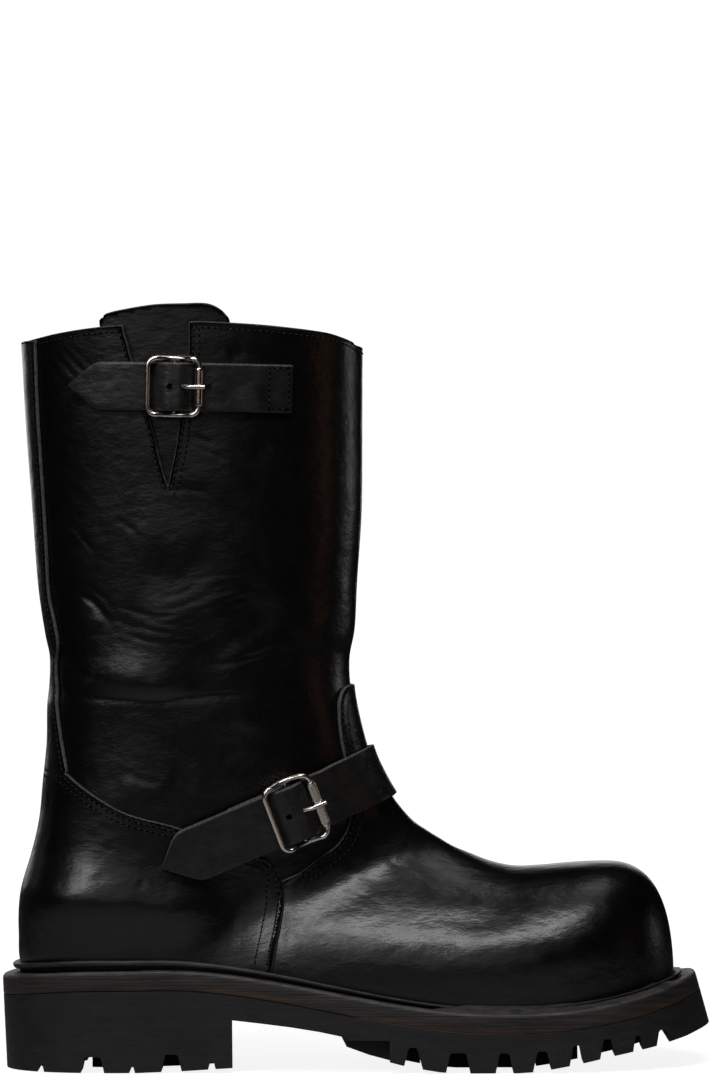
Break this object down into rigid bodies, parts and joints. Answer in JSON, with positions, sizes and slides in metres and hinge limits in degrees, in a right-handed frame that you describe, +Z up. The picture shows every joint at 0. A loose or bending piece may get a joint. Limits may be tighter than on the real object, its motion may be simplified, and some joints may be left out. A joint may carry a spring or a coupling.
{
  "type": "biker boot",
  "caption": "Mid-calf engineer-style boot in smooth leather with a buckled instep strap, a buckled collar strap over a side gusset, and a thick lugged rubber sole.",
  "frame": {"origin": "on the floor, in the middle of the boot's bounding box", "axes": "+X to the toe, +Y to the inner side of the foot, +Z up; the buckles are on the -Y side"},
  "size_m": [0.3256, 0.1314, 0.3478],
  "materials": {
    "sole_rubber": "matt dark grey rubber with fine level striations",
    "sole_leather": "black-stained sole leather with a worn brown edge",
    "insole_leather": "plain vegetable-tanned leather",
    "upper_leather": "smooth black leather, waxed, with fine wrinkles",
    "strap_leather": "smooth black strap leather with pale raw edges",
    "nickel": "polished nickel with a warm tint"
  },
  "bodies": {
    "root": {"outsole": "sole_rubber", "midsole": "sole_leather", "welt": "sole_leather", "insole": "insole_leather", "upper": "upper_leather", "gusset": "upper_leather", "counter": "upper_leather", "vamp": "upper_leather", "backstay": "upper_leather", "ankle_strap": "strap_leather", "ankle_buckle_keeper": "strap_leather", "ankle_buckle_frame": "nickel", "ankle_buckle_roller": "nickel", "ankle_buckle_prong": "nickel", "top_strap": "strap_leather", "top_buckle_keeper": "strap_leather", "top_buckle_frame": "nickel", "top_buckle_roller": "nickel", "top_buckle_prong": "nickel"}
  },
  "joints": []
}
